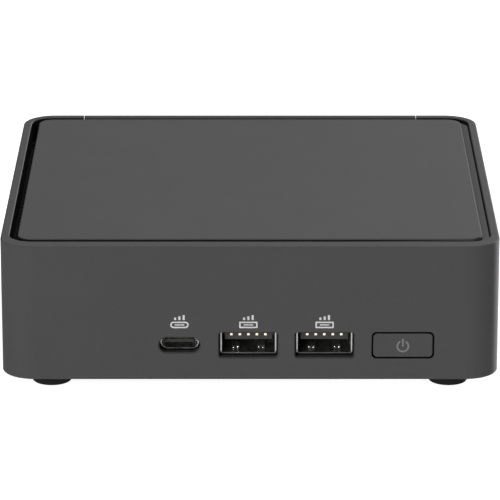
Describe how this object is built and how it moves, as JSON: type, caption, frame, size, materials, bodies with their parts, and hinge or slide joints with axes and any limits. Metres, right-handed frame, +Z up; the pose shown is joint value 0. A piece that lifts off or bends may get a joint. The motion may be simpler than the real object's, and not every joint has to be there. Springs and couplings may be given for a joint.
{
  "type": "mini pc",
  "caption": "Small square desktop computer with a flush top panel in a groove, front ports and power button, rear ports, blower cooler and a tilting bottom cover on rubber feet.",
  "frame": {"origin": "on the desk under the middle of the case, at the undersides of the feet", "axes": "+X to the right seen from the front, +Y to the back, +Z up; the front face looks along -Y"},
  "size_m": [0.117, 0.112, 0.037],
  "materials": {
    "case_plastic": "fine spark-eroded texture, dark grey",
    "panel_plastic": "fine spark-eroded texture, dark grey",
    "grille_plastic": "matte black moulding",
    "rotor_plastic": "satin black moulding",
    "insulator": "satin black",
    "symbol_grey": "translucent light grey",
    "port_steel": "nickel-plated sheet",
    "bracket_steel": "stamped sheet, satin",
    "screw_steel": "black zinc",
    "contact_gold": "gold-plated",
    "bearing_bronze": "turned brass",
    "copper": "drawn copper, satin",
    "fin_aluminium": "thin stamped sheet",
    "board_laminate": "dark green-black solder mask",
    "chip_epoxy": "moulded epoxy",
    "ferrite": "pressed grey powder",
    "cable_jacket": "smooth black jacket",
    "pad_silicone": "soft grey-blue pad",
    "foot_rubber": "matte black rubber"
  },
  "bodies": {
    "chassis": {"outer_shell": "case_plastic", "top_panel": "panel_plastic", "intake_strip": "grille_plastic", "side_grilles": "grille_plastic", "lock_plate": "bracket_steel", "rear_panel": "case_plastic", "usb_c_shells": "port_steel", "usb_c_tongues": "insulator", "front_usb_a_shells": "port_steel", "usb_a_tongues": "insulator", "usb_a_contacts": "contact_gold", "rear_usb_a_stack": "port_steel", "power_switch": "insulator", "hdmi_shells": "port_steel", "hdmi_tongues": "insulator", "ethernet_jack": "port_steel", "ethernet_contacts": "contact_gold", "dc_jack": "insulator", "dc_jack_pin": "port_steel", "mainboard": "board_laminate", "mainboard_screws": "screw_steel", "processor": "chip_epoxy", "power_coils": "ferrite", "board_chips": "chip_epoxy", "battery_holder": "insulator", "coin_cell": "port_steel", "cold_plate": "copper", "heat_pipes": "copper", "fin_stack": "fin_aluminium", "cooler_bracket": "bracket_steel", "cooler_screws": "screw_steel", "fan_housing": "grille_plastic", "fan_cover": "bracket_steel", "fan_screws": "screw_steel", "fan_bearing": "bearing_bronze", "fan_stator": "ferrite", "fan_connector": "symbol_grey", "fan_cable": "cable_jacket", "memory_sockets": "insulator", "memory_modules": "board_laminate", "memory_chips": "chip_epoxy", "ssd_socket": "insulator", "ssd_module": "board_laminate", "ssd_chips": "chip_epoxy", "ssd_standoff": "bearing_bronze", "ssd_screw": "screw_steel", "radio_module": "port_steel", "aerials": "copper", "aerial_cables": "cable_jacket"},
    "power_button": {"power_button": "case_plastic", "power_symbol": "symbol_grey"},
    "switch_plunger": {"switch_plunger": "symbol_grey"},
    "fan_rotor": {"fan_rotor": "rotor_plastic", "fan_shaft": "port_steel", "fan_magnet": "ferrite"},
    "bottom_cover": {"bottom_cover": "case_plastic", "thermal_pad": "pad_silicone", "bracket_inserts": "bearing_bronze", "rubber_feet": "foot_rubber"},
    "cover_latch": {"cover_latch": "grille_plastic"}
  },
  "joints": [
    {"name": "button_press", "type": "slide", "parent": "chassis", "child": "power_button", "axis": [0, 1, 0], "range_m": [0, 0.0004], "stiffness_N_per_m": 1500, "springref_m": -0.0005},
    {"name": "switch_press", "type": "slide", "parent": "chassis", "child": "switch_plunger", "axis": [0, 1, 0], "range_m": [0, 0.0004]},
    {"name": "fan_spin", "type": "hinge", "parent": "chassis", "child": "fan_rotor", "pos_m": [-0.019, -0.008, 0.0262], "axis": [0, 0, 1], "continuous": true},
    {"name": "cover_tilt", "type": "hinge", "parent": "chassis", "child": "bottom_cover", "pos_m": [0, -0.0539, 0.0043], "axis": [-1, 0, 0], "range_deg": [0, 90]},
    {"name": "latch_slide", "type": "slide", "parent": "bottom_cover", "child": "cover_latch", "axis": [0, -1, 0], "range_m": [0, 0.0022]}
  ],
  "couplings": [
    {"joint": "switch_press", "follows": "button_press", "ratio": 1}
  ]
}
